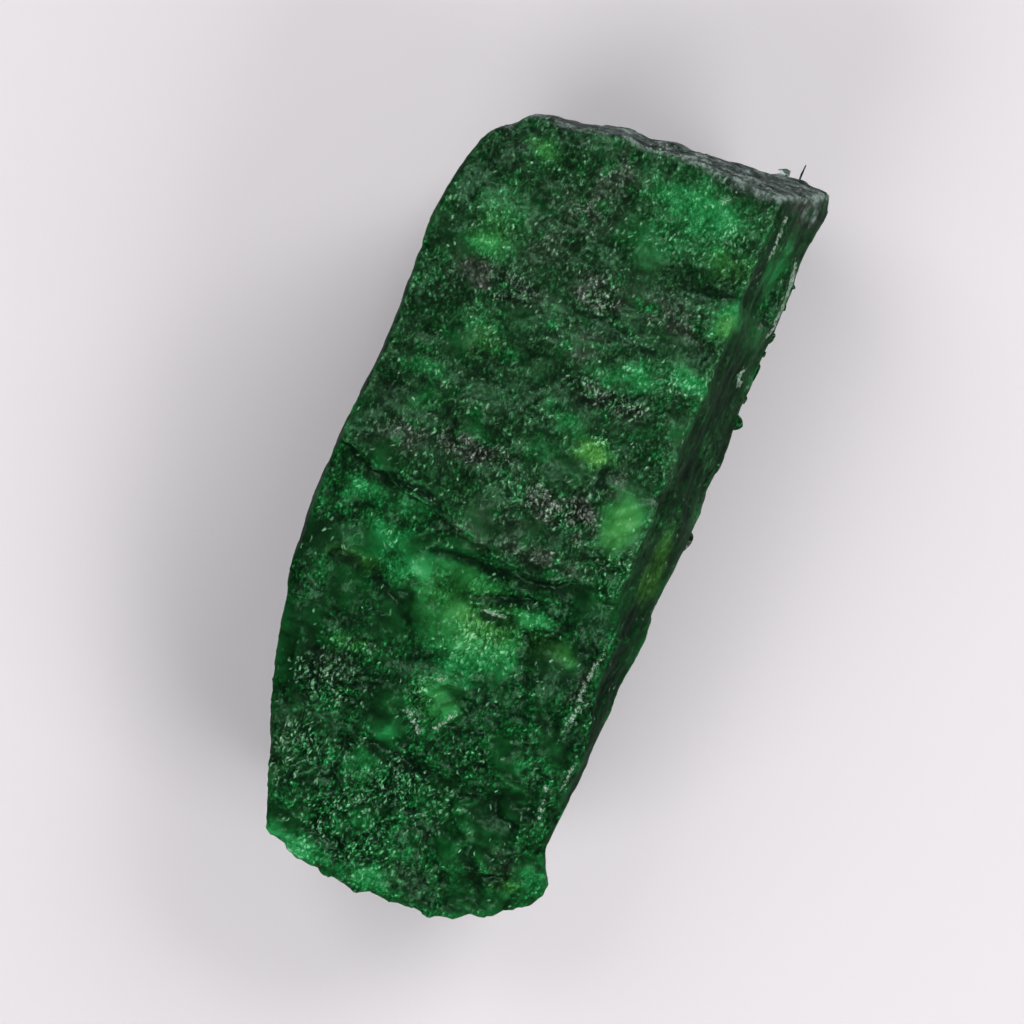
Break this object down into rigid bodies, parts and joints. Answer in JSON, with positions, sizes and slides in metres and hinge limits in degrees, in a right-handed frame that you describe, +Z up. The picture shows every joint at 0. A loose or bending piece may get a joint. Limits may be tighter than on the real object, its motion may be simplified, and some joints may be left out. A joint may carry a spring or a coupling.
{
  "type": "raw emerald crystal",
  "caption": "Rough, uncut emerald: a broken length of green beryl prism lying on one of its long faces, with stepped fractures across its upper face.",
  "frame": {"origin": "middle of the box that holds the crystal, at the height of the surface that it rests on", "axes": "+Y along the crystal's long axis, towards its wider, squared-off end; +Z up, away from the face that it rests on; +X towards the sloping grown prism face"},
  "size_m": [0.0216, 0.0466, 0.0141],
  "materials": {
    "emerald": "translucent dark green beryl with broken, glassy, oiled faces and grey-black fracture veils"
  },
  "bodies": {
    "root": {"emerald_crystal": "emerald"}
  },
  "joints": []
}
